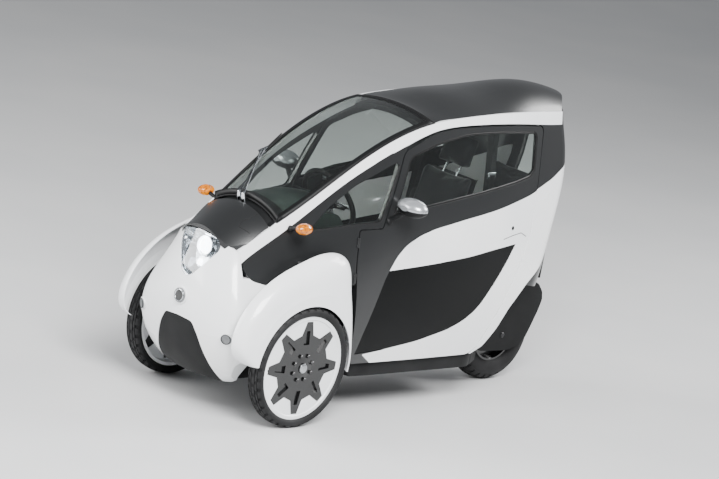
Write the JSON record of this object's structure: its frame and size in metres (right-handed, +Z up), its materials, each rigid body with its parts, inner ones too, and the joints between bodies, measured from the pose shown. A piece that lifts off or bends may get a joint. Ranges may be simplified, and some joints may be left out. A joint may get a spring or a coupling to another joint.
{
  "type": "three-wheeled enclosed tandem city car",
  "caption": "Narrow enclosed electric city vehicle with two front wheels, a steered rear wheel, tandem seats and side doors that open on front hinges.",
  "frame": {"origin": "on the floor under the middle of the overall box", "axes": "+X to the nose, +Y to the left side, +Z up"},
  "size_m": [2.3468, 0.9808, 1.4554],
  "materials": {
    "body_white": "gloss",
    "fender_white": "gloss",
    "body_grey": "satin",
    "trim_black": "matte",
    "tub_black": "matte",
    "battery_grey": "matte",
    "lamp_dark": "gloss",
    "lamp_clear": "clear",
    "lamp_red": "gloss",
    "lamp_amber": "gloss",
    "silver_disc": "satin",
    "window_glass": "tinted",
    "mirror_shell": "gloss",
    "seat_fabric": "woven",
    "dash_plastic": "matte",
    "steel_black": "satin",
    "tyre_rubber": "matte",
    "rim_white": "gloss",
    "star_black": "satin"
  },
  "bodies": {
    "body": {"side_rails": "body_white", "nose_shell": "body_white", "rear_quarters": "body_white", "front_fenders": "fender_white", "front_panels": "body_grey", "tail_shell": "body_grey", "bonnet": "body_grey", "roof_panel": "body_grey", "windscreen_frame": "body_grey", "roll_hoop": "body_grey", "nose_lower_panel": "trim_black", "wiper": "trim_black", "plate_panel": "trim_black", "floor_tub": "tub_black", "battery_block": "battery_grey", "headlamp_housing": "lamp_dark", "headlamp_lens": "lamp_clear", "tail_lamps": "lamp_red", "turn_signals": "lamp_amber", "nose_discs": "silver_disc", "windscreen": "window_glass", "quarter_glasses": "window_glass", "rear_window": "window_glass", "front_seat": "seat_fabric", "rear_seat": "seat_fabric", "dashboard": "dash_plastic", "front_suspension": "steel_black"},
    "front_wheel_left": {"front_tyre_left": "tyre_rubber", "front_rim_left": "rim_white", "front_star_left": "star_black"},
    "front_wheel_right": {"front_tyre_right": "tyre_rubber", "front_rim_right": "rim_white", "front_star_right": "star_black"},
    "rear_steer": {"rear_fork": "steel_black", "rear_fender": "trim_black"},
    "rear_wheel": {"rear_tyre": "tyre_rubber", "rear_rim": "star_black"},
    "door_left": {"door_frame_left": "body_grey", "door_skin_left": "body_white", "door_lower_panel_left": "trim_black", "door_glass_left": "window_glass", "door_mirror_left": "mirror_shell"},
    "door_right": {"door_frame_right": "body_grey", "door_skin_right": "body_white", "door_lower_panel_right": "trim_black", "door_glass_right": "window_glass", "door_mirror_right": "mirror_shell"},
    "steering_wheel": {"steering_wheel": "dash_plastic"}
  },
  "joints": [
    {"name": "front_roll_left", "type": "hinge", "parent": "body", "child": "front_wheel_left", "pos_m": [0.77, 0.395, 0.275], "axis": [0, 1, 0], "continuous": true},
    {"name": "front_roll_right", "type": "hinge", "parent": "body", "child": "front_wheel_right", "pos_m": [0.77, -0.395, 0.275], "axis": [0, 1, 0], "continuous": true},
    {"name": "rear_steering", "type": "hinge", "parent": "body", "child": "rear_steer", "pos_m": [-0.93, 0, 0.235], "axis": [0, 0, 1], "range_deg": [-25, 25]},
    {"name": "rear_roll", "type": "hinge", "parent": "rear_steer", "child": "rear_wheel", "pos_m": [-0.93, 0, 0.235], "axis": [0, 1, 0], "continuous": true},
    {"name": "door_hinge_left", "type": "hinge", "parent": "body", "child": "door_left", "pos_m": [0.434, 0.32894, 0.62], "axis": [0, 0.1087, -0.9941], "range_deg": [0, 60]},
    {"name": "door_hinge_right", "type": "hinge", "parent": "body", "child": "door_right", "pos_m": [0.434, -0.32894, 0.62], "axis": [0, 0.1087, 0.9941], "range_deg": [0, 60]},
    {"name": "steering_wheel_turn", "type": "hinge", "parent": "body", "child": "steering_wheel", "pos_m": [0.34031, 0, 0.90834], "axis": [-0.879, 0, 0.4768], "range_deg": [-150, 150]}
  ],
  "couplings": [
    {"joint": "steering_wheel_turn", "follows": "rear_steering", "ratio": -6}
  ]
}
